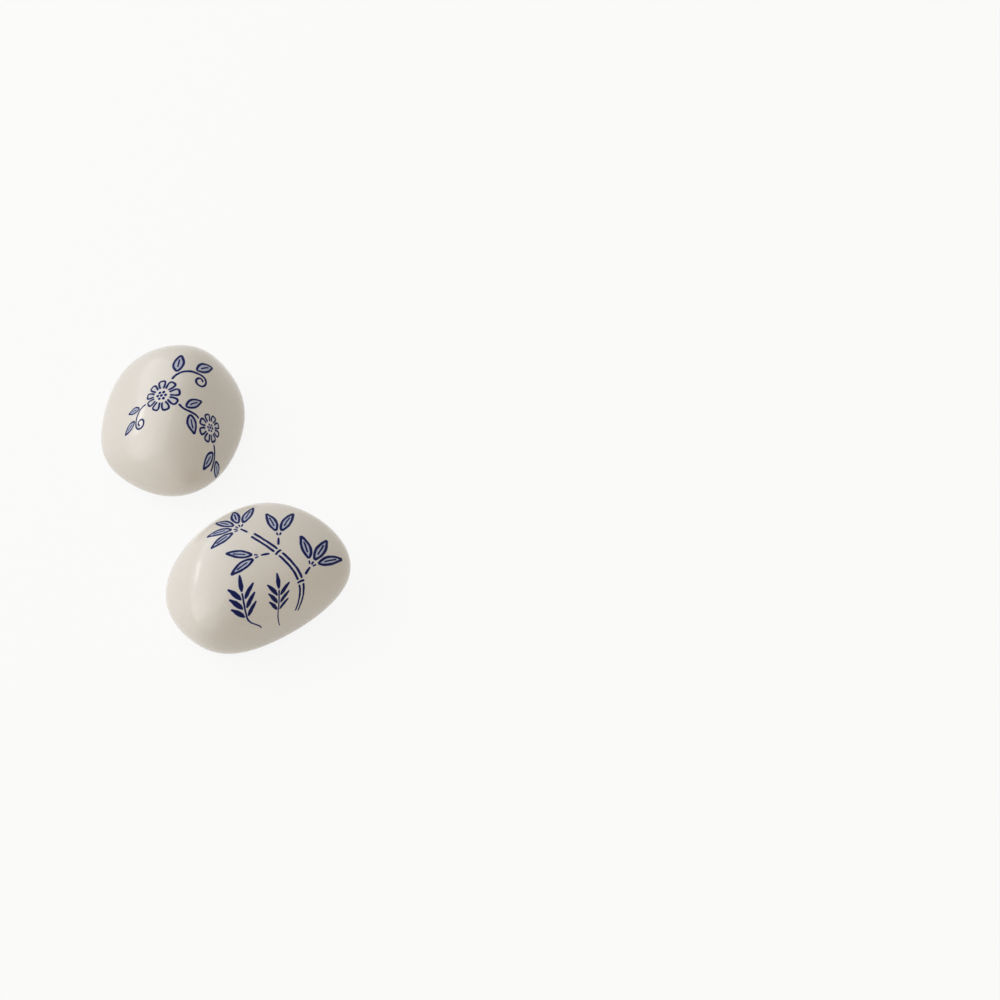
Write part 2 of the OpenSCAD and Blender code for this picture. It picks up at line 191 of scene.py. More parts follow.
def level_points(turns, reach, height):
    points = direction(turns, 0) * np.broadcast_to(reach, turns.shape)[:, None]
    points[:, 2] = height
    return points


class Rest:
    """One rest: its pebble, and its place and body in the shared frame."""

    def __init__(self, name, size, facet_shares, turn):
        self.name = name
        self.body = name + "_rest"
        self.size = size
        self.facet_shares = facet_shares
        self.turn = turn
        self.pebble = Pebble(size, facet_shares)
        turns = np.arange(TURNS) * 360 / TURNS
        rings = [self.pebble.surface(direction(turns, tilt)) for tilt in GIRTH_TILTS]
        plan = turned(np.concatenate(rings), turn)
        low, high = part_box(name + "_shell")
        middle = np.array((low + high) / 2)[:2] / MM
        self.at = middle - (plan.min(0) + plan.max(0)) / 2

    def placed(self, points):
        """Points of the pebble's own frame, in metres in the shared frame."""
        plan = turned(points, self.turn) + self.at
        height = points[..., 2] + self.pebble.drop
        return np.concatenate([plan, height[..., None]], -1) * MM

    def facing(self, vectors):
        """Directions of the pebble's own frame, in the shared frame."""
        return np.concatenate([turned(vectors, self.turn), vectors[..., 2:]], -1)


# Length, width and height of each full pebble, its facets, each with its turn, its tilt and the
# share of the pebble's reach at which it lies, and the turn of the whole
rear = Rest(
    "rear", (57.5, 46, 25),
    [(167, 11, 0.85), (282, 29, 0.69), (115, 48, 0.68), (328, 20, 0.79), (31, 28, 0.91)], 70)
front = Rest(
    "front", (57, 44.5, 24.5),
    [(196, -16, 0.9), (269, 4, 0.76), (108, 34, 1.02), (156, 40, 0.79), (24, -10, 0.93)], 32.5)


# Meshes

def new_object(name, points, faces, material):
    mesh = bpy.data.meshes.new(name)
    mesh.from_pydata([tuple(p) for p in points], [], faces)
    mesh.update()
    mesh.polygons.foreach_set("use_smooth", [True] * len(mesh.polygons))
    mesh.materials.append(material)
    piece = bpy.data.objects.new(name, mesh)
    bpy.context.scene.collection.objects.link(piece)
    return piece


def ring_faces(rows, columns):
    """Quads between rows of corners that each go once round."""
    faces = []
    for j in range(rows - 1):
        for i in range(columns):
            after = (i + 1) % columns
            faces.append((
                j * columns + i, (j + 1) * columns + i, (j + 1) * columns + after, j * columns + after))
    return faces


def shell_rows(rest):
    """Rows of corners from the crown down the outside, in through the vent and up the inside."""
    pebble = rest.pebble
    inner = Pebble(rest.size, rest.facet_shares, WALL)
    turns = np.arange(TURNS) * 360 / TURNS
    drop = pebble.drop
    edge = pebble.reach(turns, drop - FOOT_ROUND)
    corner = pebble.reach(turns, drop)
    edge_tilt = np.degrees(np.arctan2(FOOT_ROUND - drop, edge))
    rows = []
    for j in range(1, OUTER_ROWS + 1):
        tilt = 90 - (90 - edge_tilt) * j / OUTER_ROWS
        rows.append(pebble.surface(direction(turns, tilt)))
    for j in range(1, ROUND_ROWS + 1):
        t = j / ROUND_ROWS
        reach = (1 - t) ** 2 * edge + 2 * t * (1 - t) * corner + t * t * (corner - FOOT_ROUND)
        rows.append(level_points(turns, reach, (1 - t) ** 2 * FOOT_ROUND - drop))
    rim = VENT_R + VENT_ROUND
    for j in range(1, FOOT_ROWS + 1):
        t = j / FOOT_ROWS
        rows.append(level_points(turns, (1 - t) * (corner - FOOT_ROUND) + t * rim, -drop))
    for j in range(1, VENT_ROWS + 1):
        a = math.pi / 2 * j / VENT_ROWS
        rows.append(level_points(
            turns, rim - VENT_ROUND * math.sin(a), VENT_ROUND * (1 - math.cos(a)) - drop))
    for j in range(1, TUBE_ROWS + 1):
        height = VENT_ROUND + (WALL - VENT_ROUND) * j / TUBE_ROWS
        rows.append(level_points(turns, VENT_R, height - drop))
    inner_edge = inner.reach(turns, drop - WALL)
    for j in range(1, FLOOR_ROWS + 1):
        t = j / FLOOR_ROWS
        rows.append(level_points(turns, (1 - t) * VENT_R + t * inner_edge, WALL - drop))
    inner_tilt = np.degrees(np.arctan2(WALL - drop, inner_edge))
    for j in range(1, INNER_ROWS):
        tilt = inner_tilt + (90 - inner_tilt) * j / INNER_ROWS
        rows.append(inner.surface(direction(turns, tilt)))
    up = np.array([[0.0, 0.0, 1.0]])
    return pebble.surface(up), rows, inner.surface(up)


def shell(rest, material):
    crown, rows, roof = shell_rows(rest)
    points = np.concatenate(rows + [crown, roof])
    faces = ring_faces(len(rows), TURNS)
    first_of_last = (len(rows) - 1) * TURNS
    top = len(rows) * TURNS
    for i in range(TURNS):
        after = (i + 1) % TURNS
        faces.append((top, i, after))
        faces.append((top + 1, first_of_last + after, first_of_last + i))
    piece = new_object(rest.name + "_shell_glazed", rest.placed(points), faces, material)
    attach(piece, rest.body)
    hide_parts(rest.name + "_shell")


# Prints are drawn flat and then wrapped on to the pebble

class Sheet:
    """The flat sheet of a print. Its middle lies on the pebble at a turn and a tilt, and its X
    points along a heading."""

    def __init__(self, rest, turn, tilt, heading):
        self.rest = rest
        pebble = rest.pebble
        self.middle = pebble.surface(direction(turn, tilt))
        self.out = pebble.normal(self.middle)
        ahead = direction(heading, 0)
        self.right = unit(ahead - (ahead @ self.out) * self.out)
        self.up = np.cross(self.out, self.right)

    def wrapped(self, flat):
        """Flat points, bent over a ball and then moved on to the pebble."""
        reach = np.linalg.norm(flat, axis=-1, keepdims=True)
        along = (flat[..., :1] * self.right + flat[..., 1:2] * self.up) / np.maximum(reach, NEAR_ZERO)
        bend = reach / WRAP_R
        ball = self.middle + WRAP_R * (np.sin(bend) * along - (1 - np.cos(bend)) * self.out)
        return self.rest.pebble.surface(ball)


class Print:
    """The strokes of one print piece, gathered as points, faces and a share of ink at each point."""

    def __init__(self, sheet):
        self.sheet = sheet
        self.points = []
        self.normals = []
        self.ink = []
        self.faces = []
        self.count = 0

    def add(self, flat, heights, ink, faces):
        base = self.sheet.wrapped(flat)
        normals = self.sheet.rest.pebble.normal(base)
        self.points.append(base + normals * heights[:, None])
        self.normals.append(normals)
        self.ink.append(ink)
        self.faces += [tuple(self.count + k for k in face) for face in faces]
        self.count += len(flat)

    def sweep(self, sections, ink):
        """Thin body over flat sections, each a row of points from side to side. Its underside
        and its rim lie just inside the porcelain."""
        n, k = sections.shape[:2]
        ring = k + 2
        flat = np.concatenate([sections, sections[:, -1:], sections[:, :1]], 1).reshape(-1, 2)
        heights = np.concatenate([ink_height(ink), np.full((n, 2), -SUNK_DEPTH)], 1).reshape(-1)
        shares = np.concatenate([ink, ink[:, -1:], ink[:, :1]], 1).reshape(-1)
        faces = [tuple(reversed(range(ring))), tuple(range((n - 1) * ring, n * ring))]
        for j in range(n - 1):
            a, b = j * ring, (j + 1) * ring
            for i in range(ring):
                after = (i + 1) % ring
                faces.append((a + i, a + after, b + after, b + i))
        self.add(flat, heights, shares, faces)

    def piece(self, name, node, material):
        rest = self.sheet.rest
        points = rest.placed(np.concatenate(self.points))
        piece = new_object(name, points, self.faces, material)
        mesh = piece.data
        attribute = mesh.attributes.new("ink", "FLOAT", "POINT")
        attribute.data.foreach_set("value", np.concatenate(self.ink).astype(np.float32))
        mesh.normals_split_custom_set_from_vertices(rest.facing(np.concatenate(self.normals)).tolist())
        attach(piece, rest.body)
        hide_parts(node)


def smooth_fall(x):
    """1 at x = 0 and below, 0 at x = 1 and above, with a smooth fall between them."""
    x = np.clip(x, 0, 1)
    return 1 - x * x * (3 - 2 * x)


def ink_share(distance, half):
    """Share of ink at a distance from the middle of a line: full in its core, with a soft edge
    and a faint bleed past it."""
    core = smooth_fall((distance - half) / EDGE_W + 0.5)
    bleed = BLEED_SHARE * smooth_fall((distance - half) / BLEED_W)
    return np.maximum(core, bleed)


def ink_height(ink):
    """Height above the porcelain at a share of ink."""
    return WASH_HEIGHT + (INK_HEIGHT - WASH_HEIGHT) * ink


def unevenness(s, phase):
    """Sway to the side, from -1 to 1, and swell of the width, about 1, at places on a line."""
    sway = np.sin(s * SWAY_RATES[0] + phase) * np.sin(s * SWAY_RATES[1] + 2 * phase)
    slow_swell = SWELL_SHARES[0] * np.sin(s * SWELL_RATES[0] + phase)
    quick_swell = SWELL_SHARES[1] * np.sin(s * SWELL_RATES[1] + 3 * phase)
    return sway, 1 + slow_swell + quick_swell


def stroke(ink_print, path, widths):
    """Line of ink along a flat path, with round ends and the slight unevenness of a drawn line."""
    path = np.asarray(path, float)
    widths = np.broadcast_to(np.asarray(widths, float), (len(path),))
    at = np.concatenate([[0], np.cumsum(np.linalg.norm(np.diff(path, axis=0), axis=1))])
    length = at[-1]
    start_r = widths[0] / 2
    end_r = widths[-1] / 2
    count = max(2, int(round((length - start_r - end_r) / INK_STEP)) + 1)
    body = np.linspace(start_r, max(start_r + TINY, length - end_r), count)
    rim_w = SPREAD_W + BLEED_W
    start_cap = -rim_w + (start_r + rim_w) * CAP_SHARES
    end_cap = length + rim_w - (end_r + rim_w) * CAP_SHARES[::-1]
    s = np.concatenate([start_cap, body, end_cap])
    on_path = np.clip(s, 0, length)

    def along(x):
        return np.stack([np.interp(np.clip(x, 0, length), at, path[:, i]) for i in (0, 1)], -1)

    ahead = unit(along(on_path + INK_STEP / 2) - along(on_path - INK_STEP / 2))
    side = np.stack([-ahead[:, 1], ahead[:, 0]], -1)
    sway, swell = unevenness(s, path[0].sum() * PHASE_RATE)
    spine = along(on_path) + ahead * (s - on_path)[:, None] + side * (SWAY_W * sway)[:, None]
    half = np.interp(on_path, at, widths) / 2 * swell + SPREAD_W
    full = half + BLEED_W
    past = np.maximum(0, np.maximum(start_r - s, s - (length - end_r)))
    past = np.minimum(past, full * (1 - TINY))
    reach = np.sqrt(full ** 2 - past ** 2)
    soft_edge = np.concatenate([half[:, None] + EDGE_W * EDGE_SHARES, full[:, None]], 1)
    across = np.concatenate([-soft_edge[:, ::-1], 0 * full[:, None], soft_edge], 1) / full[:, None]
    offsets = reach[:, None] * across
    sections = spine[:, None] - side[:, None] * offsets[..., None]
    ink = ink_share(np.hypot(offsets, past[:, None]), half[:, None])
    ink_print.sweep(sections, ink)


def dot(ink_print, at, r):
    stroke(ink_print, [at - np.array([r, 0]), at, at + np.array([r, 0])], 2 * r)


def wash(ink_print, middle, side, halves, share):
    """Pale tint between two outlines that lie at the given half-widths from a middle line."""
    offsets = np.asarray(halves)[:, None] * WASH_ACROSS_SHARES
    sections = np.asarray(middle)[:, None] - side * offsets[..., None]
    ink = np.broadcast_to(share * (1 + np.abs(WASH_ACROSS_SHARES) ** WASH_RIM_POWER), offsets.shape)
    ink_print.sweep(sections, ink)


# Curves

def bezier_point(c, t):
    """Points at shares t of the way along a curve with the four control points c."""
    t = np.asarray(t, float)[..., None]
    return (1 - t) ** 3 * c[0] + 3 * (1 - t) ** 2 * t * c[1] + 3 * (1 - t) * t * t * c[2] + t ** 3 * c[3]


def bezier_turn(c, t):
    """Heading of the curve there, in degrees."""
    t = np.asarray(t, float)[..., None]
    ahead = (1 - t) ** 2 * (c[1] - c[0]) + 2 * (1 - t) * t * (c[2] - c[1]) + t * t * (c[3] - c[2])
    return np.degrees(np.arctan2(ahead[..., 1], ahead[..., 0]))


def bezier_path(c, side=0.0, start=0.0, end=1.0):
    """Line beside the curve, at a distance to its left, between two shares of its length."""
    t = np.linspace(start, end, CURVE_POINTS)
    turn = np.radians(bezier_turn(c, t))
    return bezier_point(c, t) + side * np.stack([-np.sin(turn), np.cos(turn)], -1)


def laid(path, at, turn):
    """Path turned by degrees and then moved to a place."""
    return np.asarray(at) + turned(path, turn)


# Leaf, drawn as an outline with a vein and a pale wash, from its base out along X
LEAF_BELLY_SHARE = 0.86
LEAF_BEND_SHARE = 0.1
LEAF_WASH_SHARE = 0.12
VEIN_FROM_SHARE = 0.24
VEIN_TO_SHARE = 0.74


def droop(length, t, bend_share):
    """Distance to the side of a leaf's middle line at shares t of its length."""
    return bend_share * length * t * t


def leaf(ink_print, at, turn, length, width, bend_share):
    t = np.linspace(0, 1, LEAF_POINTS)
    middle = np.stack([length * t, droop(length, t, bend_share)], -1)
    half = width / 2 * np.sin(np.pi * t ** LEAF_BELLY_SHARE)
    up = np.array([0.0, 1.0])
    for side in (1, -1):
        stroke(ink_print, laid(middle + side * half[:, None] * up, at, turn), LINE_W)
    vein = (t >= VEIN_FROM_SHARE) & (t <= VEIN_TO_SHARE)
    stroke(ink_print, laid(middle[vein], at, turn), VEIN_W)
    inner = slice(WASH_INSET_POINTS, -WASH_INSET_POINTS)
    wash(ink_print, laid(middle[inner], at, turn), turned(up, turn), half[inner], LEAF_WASH_SHARE)


# Bloom: a ring of round petals about an eye of dots
PETAL_ROOT_SHARE = 0.48
PETAL_TIP_POWER = 0.75
PETAL_SIDE_POWER = 0.65
PETAL_WASH_SHARE = 0.055
EYE_SHARE = 0.24
EYE_DOT_SHARE = 0.08
EYE_DOTS = 6


def bloom(ink_print, at, turn, r, petals):
    a = np.linspace(0, np.pi, PETAL_POINTS)
    rise = np.sin(a) ** PETAL_TIP_POWER
    reach = r * (PETAL_ROOT_SHARE + (1 - PETAL_ROOT_SHARE) * rise)
    half = reach * math.tan(math.pi / petals) - (LINE_W + LINE_GAP) / 2
    across = half * np.abs(np.cos(a)) ** PETAL_SIDE_POWER
    outline = np.stack([reach, -np.sign(np.cos(a)) * across], -1)
    first_half = slice(0, PETAL_POINTS // 2)
    middle = np.stack([reach[first_half], np.zeros(PETAL_POINTS // 2)], -1)
    for i in range(petals):
        petal_turn = turn + 360 * i / petals
        stroke(ink_print, laid(outline, at, petal_turn), LINE_W)
        wash(ink_print, laid(middle, at, petal_turn), turned([0, 1], petal_turn), across[first_half],
             PETAL_WASH_SHARE)
    dot(ink_print, at, r * EYE_DOT_SHARE)
    for i in range(EYE_DOTS):
        dot(ink_print, laid([r * EYE_SHARE, 0], at, 360 * i / EYE_DOTS), r * EYE_DOT_SHARE)


# Rear print: two blooms on a curling vine. A print's place is the turn and tilt of its sheet's
# middle on the pebble and the heading of the sheet's X.
REAR_PRINT_PLACE = (228, 60, -70)
VINE_PRINT_W = 35
BLOOM_R = 5.2
BLOOM_TURN = 10
BLOOM_PETALS = 9
SMALL_BLOOM_R = 4.4
SMALL_BLOOM_TURN = 25
SMALL_BLOOM_PETALS = 8
CURL_R = 2
CURL_SWEEP = 430
CURL_INNER_SHARE = 0.34
PULL_SHARE = 0.4
VINE_LEAF_L = 5.4
VINE_LEAF_W = 2.5
bloom_at = VINE_PRINT_W * np.array([-0.16, 0.08])
small_bloom_at = VINE_PRINT_W * np.array([0.3, -0.16])


def rim(at, r, turn):
    """Place just outside a bloom, where a vine starts or ends."""
    return laid([r + LINE_W + LINE_GAP, 0], at, turn)


def tendril(start, start_turn, end, end_turn):
    """Control points of a curve between two places with the given headings."""
    pull = PULL_SHARE * np.linalg.norm(end - start)
    return [start, start + turned([pull, 0], start_turn), end - turned([pull, 0], end_turn), end]


def curl(at, heading, side):
    """Spiral that carries a line on from a place and a heading, and winds to one side."""
    centre = laid([0, side * CURL_R], at, heading)
    t = np.linspace(0, 1, CURL_POINTS)
    r = CURL_R * (1 - (1 - CURL_INNER_SHARE) * t)
    a = np.radians(heading - side * 90 + side * CURL_SWEEP * t)
    return centre + r[:, None] * np.stack([np.cos(a), np.sin(a)], -1)


def vine(at, r, turn, end_share, end_turn):
    """Vine that leaves a bloom at a turn and ends at shares of the print's width."""
    return tendril(rim(at, r, turn), turn, VINE_PRINT_W * np.array(end_share), end_turn)


# Headings at which the left and the top vine run into their curls
LEFT_CURL_TURN = -70
TOP_CURL_TURN = -12

# One vine links the blooms. The others leave a bloom at a turn, and end at a place with a heading.
link_vine = tendril(
    rim(bloom_at, BLOOM_R, -30), -58, rim(small_bloom_at, SMALL_BLOOM_R, 158), 310)
left_vine = vine(bloom_at, BLOOM_R, 200, [-0.41, -0.19], LEFT_CURL_TURN)
top_vine = vine(bloom_at, BLOOM_R, 62, [0.15, 0.3], TOP_CURL_TURN)
low_vine = vine(small_bloom_at, SMALL_BLOOM_R, -70, [0.33, -0.5], -112)

# Leaves on the vines: vine, share of the way along it, side, and the turn away from it
VINE_LEAF_SHARES = [
    (link_vine, 0.3, 1, 62), (link_vine, 0.6, -1, 62),
    (left_vine, 0.3, -1, 50), (left_vine, 0.8, -1, 50),
    (top_vine, 0.28, 1, 55), (top_vine, 0.8, 1, 50),
    (low_vine, 0.3, -1, 50), (low_vine, 0.62, 1, 45)]


def rear_prints(material):
    sheet = Sheet(rear, *REAR_PRINT_PLACE)
    blooms = Print(sheet)
    bloom(blooms, bloom_at, BLOOM_TURN, BLOOM_R, BLOOM_PETALS)
    bloom(blooms, small_bloom_at, SMALL_BLOOM_TURN, SMALL_BLOOM_R, SMALL_BLOOM_PETALS)
    blooms.piece("rear_bloom_ink", "rear_bloom_print", material)
    vines = Print(sheet)
    stroke(vines, bezier_path(link_vine), LINE_W)
    for curve, heading, side in ((left_vine, LEFT_CURL_TURN, 1), (top_vine, TOP_CURL_TURN, -1)):
        winding = curl(curve[3], heading, side)[1:]
        stroke(vines, np.concatenate([bezier_path(curve), winding]), LINE_W)
    stroke(vines, bezier_path(low_vine), LINE_W)
    vines.piece("rear_vine_ink", "rear_vine_print", material)
    leaves = Print(sheet)
    for curve, t, side, away in VINE_LEAF_SHARES:
        turn = float(bezier_turn(curve, t))
        at = laid([0, side * (LINE_W + LINE_GAP)], bezier_point(curve, t), turn)
        leaf(leaves, at, turn + side * away, VINE_LEAF_L, VINE_LEAF_W, -side * LEAF_BEND_SHARE)
    leaves.piece("rear_leaf_ink", "rear_leaf_print", material)


# Front print: a jointed bamboo stem with fans of leaves, and young shoots beside it
FRONT_PRINT_PLACE = (300, 62, -32.5)
BAMBOO_PRINT_W = 32
STEM_W = 1.2
STEM_JOINT_SHARES = [0, 0.36, 0.7, 1]
JOINT_GAP = 0.85
JOINT_OVERHANG = 0.4
JOINT_BOW = 0.2
TWIG_L = 2.2
BAMBOO_LEAF_L = 6.6
BAMBOO_LEAF_W = 1.95
FAN_STEP = 34
FAN_ROOT_SHARE = 0.36
STALK_ROOT_SHARE = 0.13
SHOOT_LEAF_L = 4.2
SHOOT_LEAF_W = 1
SHOOT_PITCH_SHARE = 0.56
SHOOT_SPREAD = 32
SHOOT_SWAY = 22
SHOOT_TOP_L = 1.5
BLADE_END_SHARE = 0.25
stem_curve = BAMBOO_PRINT_W * np.array([[0.4, -0.46], [0.34, -0.1], [0.1, 0.06], [-0.18, 0.26]])

# Fans of leaves: share of the way along the stem, side, turn away from the stem, leaves
LEAF_FAN_SHARES = [(0.36, -1, 52, 3), (0.7, 1, 55, 2), (0.7, -1, 48, 2), (1, 0, 4, 5)]

# Young shoots: place of the lowest leaves and of the stem's root as shares of the print's width,
# heading, pairs of leaves
SHOOT_SHARES = [
    ((-0.17, -0.46), (-0.01, -0.64), 102, 3),
    ((0.14, -0.43), (0.25, -0.66), 104, 3)]


def stem_print(stem):
    """Two lines along the stem, broken at its joints, and a bowed line across each joint."""
    gap = JOINT_GAP / sum(np.linalg.norm(np.diff(stem_curve, axis=0), axis=1))
    for start, end in zip(STEM_JOINT_SHARES, STEM_JOINT_SHARES[1:]):
        for side in (-1, 1):
            stroke(stem, bezier_path(stem_curve, side * STEM_W / 2, start + gap, end - gap), LINE_W)
    across = np.linspace(-1, 1, JOINT_POINTS)
    joint = np.stack([
        JOINT_BOW * (1 - across ** 2) - JOINT_BOW / 2, across * (STEM_W / 2 + JOINT_OVERHANG)], -1)
    for t in STEM_JOINT_SHARES[1:-1]:
        stroke(stem, laid(joint, bezier_point(stem_curve, t), float(bezier_turn(stem_curve, t))), LINE_W)


def blade(shoots, at, turn, bend_share):
    """Solid leaf, drawn with one press of the brush."""
    t = np.linspace(0, 1, BLADE_POINTS)
    spine = np.stack([SHOOT_LEAF_L * t, droop(SHOOT_LEAF_L, t, bend_share)], -1)
    swell = np.sin(np.pi * t ** LEAF_BELLY_SHARE)
    width = SHOOT_LEAF_W * (BLADE_END_SHARE + (1 - BLADE_END_SHARE) * swell)
    stroke(shoots, laid(spine, at, turn), width)


def leaf_fan(leaves, hub, turn, count):
    """Leaves spread about a hub, each on a short stalk."""
    root = BAMBOO_LEAF_L * FAN_ROOT_SHARE
    stalk = np.array([[BAMBOO_LEAF_L * STALK_ROOT_SHARE, 0], [root - LINE_W / 2 - LINE_GAP, 0]])
    for i in range(count):
        fan_side = i - (count - 1) / 2
        leaf_turn = turn + fan_side * FAN_STEP
        bend_share = LEAF_BEND_SHARE * np.sign(fan_side)
        stroke(leaves, laid(stalk, hub, leaf_turn), VEIN_W)
        at = laid([root, 0], hub, leaf_turn)
        leaf(leaves, at, leaf_turn, BAMBOO_LEAF_L, BAMBOO_LEAF_W, bend_share)


def shoot(shoots, foot, root, heading, pairs):
    """Swaying stem with pairs of blades from its foot up, and one more blade at its end."""
    pitch = SHOOT_LEAF_L * SHOOT_PITCH_SHARE
    length = pitch * (pairs - 1) + SHOOT_TOP_L
    stem_root = bezier_path(tendril(root, heading + SHOOT_SWAY, foot, heading))
    stroke(shoots, np.concatenate([stem_root, [laid([length, 0], foot, heading)]]), VEIN_W)
    blade(shoots, laid([length + LINE_GAP, 0], foot, heading), heading, 0)
    for i in range(pairs):
        for side in (-1, 1):
            at = laid([pitch * i, side * LINE_W], foot, heading)
            blade(shoots, at, heading + side * SHOOT_SPREAD, side * LEAF_BEND_SHARE)


def front_prints(material):
    sheet = Sheet(front, *FRONT_PRINT_PLACE)
    stem = Print(sheet)
    stem_print(stem)
    leaves = Print(sheet)
    twig = np.array([[0, 0], [TWIG_L / 2, 0], [TWIG_L, 0]])
    for t, side, away, count in LEAF_FAN_SHARES:
        turn = float(bezier_turn(stem_curve, t)) + side * away
        start = abs(side) * (STEM_W / 2 + LINE_W + LINE_GAP) + JOINT_GAP
        foot = laid([start, 0], bezier_point(stem_curve, t), turn)
        stroke(stem, laid(twig, foot, turn), [LINE_W, LINE_W, VEIN_W])
        leaf_fan(leaves, laid([TWIG_L, 0], foot, turn), turn, count)
    stem.piece("front_stem_ink", "front_stem_print", material)
    leaves.piece("front_leaf_ink", "front_leaf_print", material)
    shoots = Print(sheet)
    for foot_share, root_share, heading, pairs in SHOOT_SHARES:
        foot = BAMBOO_PRINT_W * np.array(foot_share)
        root = BAMBOO_PRINT_W * np.array(root_share)
        shoot(shoots, foot, root, heading, pairs)
    shoots.piece("front_shoot_ink", "front_shoot_print", material)


# Materials

class Nodes:
    """A material's nodes, with short calls to add and join them."""

    def __init__(self, name):
        self.material = bpy.data.materials.new(name)
        self.material.use_nodes = True
        self.tree = self.material.node_tree
        self.shader = self.tree.nodes["Principled BSDF"]

    def add(self, kind, inputs=(), **settings):
        node = self.tree.nodes.new(kind)
        for key, value in settings.items():
            setattr(node, key, value)
        for key, value in dict(inputs).items():
            if isinstance(value, bpy.types.NodeSocket):
                self.tree.links.new(value, node.inputs[key])
            else:
                node.inputs[key].default_value = value
        return node

    def noise(self, place, size_mm, detail=2.0):
        """Soft noise at a place, with spots of about the given size."""
        return self.add("ShaderNodeTexNoise", {
            "Vector": place, "Scale": 1 / (size_mm * MM), "Detail": detail}).outputs["Fac"]

    def fade(self, value, low, high, to_low=0.0, to_high=1.0):
        """value between low and high, drawn smoothly between two results."""
        return self.add("ShaderNodeMapRange", {
            "Value": value, "From Min": low, "From Max": high, "To Min": to_low, "To Max": to_high},
            interpolation_type="SMOOTHSTEP").outputs["Result"]

    def mix(self, share, a, b, blend_type="MIX"):
        """Colour mixed of two. The node keeps its colour sockets after those for numbers."""
        node = self.add("ShaderNodeMix", data_type="RGBA", blend_type=blend_type)
        for socket, value in ((node.inputs[0], share), (node.inputs[6], a), (node.inputs[7], b)):
            if isinstance(value, bpy.types.NodeSocket):
                self.tree.links.new(value, socket)
            else:
                socket.default_value = value
        return node.outputs[2]

    def math(self, operation, a, b):
        return self.add("ShaderNodeMath", {0: a, 1: b}, operation=operation).outputs[0]

    def feed(self, name, value):
        """Joins or sets one socket of the material's own shader."""
        socket = self.shader.inputs[name]
        if isinstance(value, bpy.types.NodeSocket):
            self.tree.links.new(value, socket)
        else:
            socket.default_value = value


# A range here is the pair of noise values between which something fades from none to all of it.
# Most of a noise lies in this one.
NOISE_RANGE = (0.2, 0.8)

# White glaze, its cloudiness, and the band above the foot in which it pools
GLAZE = (0.76, 0.712, 0.66, 1)
GLAZE_THICK = (0.735, 0.692, 0.643, 1)
GLAZE_POOL = (0.65, 0.66, 0.63, 1)
CLOUD_W = 17
CLOUD_RANGE = (0.35, 0.7)
POOL_TOP = 4.2
POOL_LOW = 0.6
POOL_SHARE = 0.8

# Slow waves and fine dimples of the glaze, its patches of more and less gloss, and its refraction
WAVE_W = 7
WAVE_DEPTH = 0.06
WAVE_STRENGTH = 0.5
DIMPLE_W = 0.9
DIMPLE_DEPTH = 0.006
DIMPLE_STRENGTH = 0.35
GLOSS_W = 9
GLOSS_ROUGHNESS = (0.09, 0.14)
GLAZE_IOR = 1.5

# Height at which the glaze stops, how sharply, and how far its edge wanders up and down
GLAZE_EDGE = 0.55
GLAZE_EDGE_W = 0.08
WANDER_W = 2.6
WANDER_H = 0.12

# Bare fired clay of the foot, its stains and its grain
BISCUIT = (0.70, 0.65, 0.57, 1)
BISCUIT_STAIN = (0.60, 0.53, 0.43, 1)
BISCUIT_ROUGHNESS = 0.85
STAIN_W = 5.5
STAIN_RANGE = (0.45, 0.8)
GRAIN_W = 0.25
GRAIN_DEPTH = 0.03

# Light that goes a little way into the porcelain: its share, its depth, and how far of that depth
# red, green and blue get
GLOW_SHARE = 0.06
GLOW_DEPTH = 1.2
GLOW_REACH = (1.0, 0.8, 0.6)


def glaze_colour(nodes, place):
    cloud = nodes.fade(nodes.noise(place, CLOUD_W, detail=1.5), *CLOUD_RANGE)
    colour = nodes.mix(cloud, GLAZE, GLAZE_THICK)
    height = nodes.add("ShaderNodeSeparateXYZ", {"Vector": place}).outputs["Z"]
    pool = nodes.fade(height, POOL_TOP * MM, POOL_LOW * MM, 0, POOL_SHARE)
    return nodes.mix(pool, colour, GLAZE_POOL)


def glaze_bump(nodes, place):
    waves = nodes.add("ShaderNodeBump", {
        "Height": nodes.noise(place, WAVE_W, detail=1.0), "Strength": WAVE_STRENGTH,
        "Distance": WAVE_DEPTH * MM})
    return nodes.add("ShaderNodeBump", {
        "Height": nodes.noise(place, DIMPLE_W, detail=1.0), "Strength": DIMPLE_STRENGTH,
        "Distance": DIMPLE_DEPTH * MM, "Normal": waves.outputs["Normal"]}).outputs["Normal"]


def glaze_roughness(nodes, place):
    return nodes.fade(nodes.noise(place, GLOSS_W), *NOISE_RANGE, *GLOSS_ROUGHNESS)


